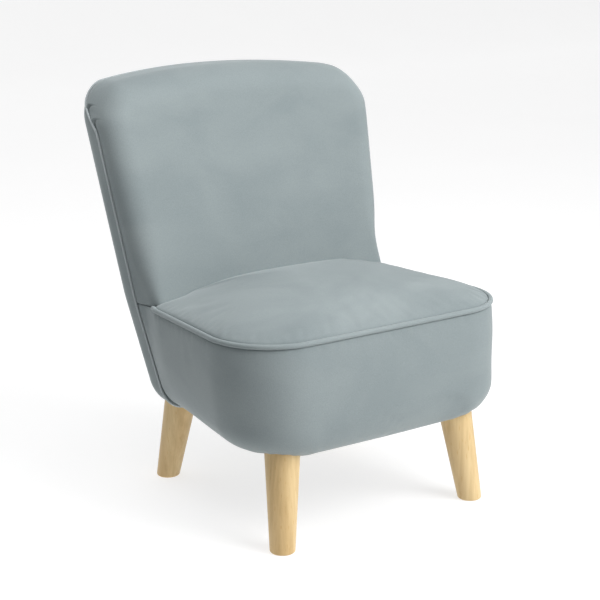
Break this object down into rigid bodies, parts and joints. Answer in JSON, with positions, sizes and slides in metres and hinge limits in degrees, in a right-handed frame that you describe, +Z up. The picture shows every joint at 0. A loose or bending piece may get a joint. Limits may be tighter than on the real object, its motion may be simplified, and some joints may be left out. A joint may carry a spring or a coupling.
{
  "type": "child chair",
  "caption": "Small armless upholstered chair for a child: crowned seat edged with a welt, curved leaning back, and splayed, tapered round wooden legs.",
  "frame": {"origin": "on the floor, under the middle of the chair's bounding box", "axes": "+Z up, the chair faces -Y, +X is to the right of someone looking at its front"},
  "size_m": [0.4348, 0.4454, 0.56],
  "materials": {
    "velvet": "short-pile velvet, grey-blue",
    "beech": "clear matt varnish",
    "plywood": "sawn, unfinished",
    "softwood": "planed, unfinished",
    "hardboard": "smooth, unfinished",
    "foam": "cut polyurethane foam",
    "webbing": "woven elastic strap",
    "bottom_cloth": "non-woven black cloth",
    "zinc_steel": "zinc plated"
  },
  "bodies": {
    "root": {"back_bolts": "zinc_steel", "back_cross_nuts": "zinc_steel", "back_dowels": "beech", "back_foam": "foam", "back_post_left": "softwood", "back_post_right": "softwood", "back_rail_lower": "softwood", "back_rail_middle": "softwood", "back_rail_top": "softwood", "back_rear_pad": "foam", "base_board": "plywood", "base_screws": "zinc_steel", "border_foam": "foam", "border_former": "hardboard", "corner_blocks": "softwood", "deck_screws": "zinc_steel", "dust_cover": "bottom_cloth", "inside_back_board": "hardboard", "inside_back_cover": "velvet", "leg_front_left": "beech", "leg_front_right": "beech", "leg_hanger_bolts": "zinc_steel", "leg_rear_left": "beech", "leg_rear_right": "beech", "leg_tee_nuts": "zinc_steel", "outside_back_board": "hardboard", "outside_back_cover": "velvet", "seat_border_cover": "velvet", "seat_deck": "plywood", "seat_foam": "foam", "seat_rail_front": "softwood", "seat_rail_left": "softwood", "seat_rail_rear": "softwood", "seat_rail_right": "softwood", "seat_top_cover": "velvet", "seat_webbing_cross": "webbing", "seat_webbing_long": "webbing", "seat_welt": "velvet"}
  },
  "joints": []
}
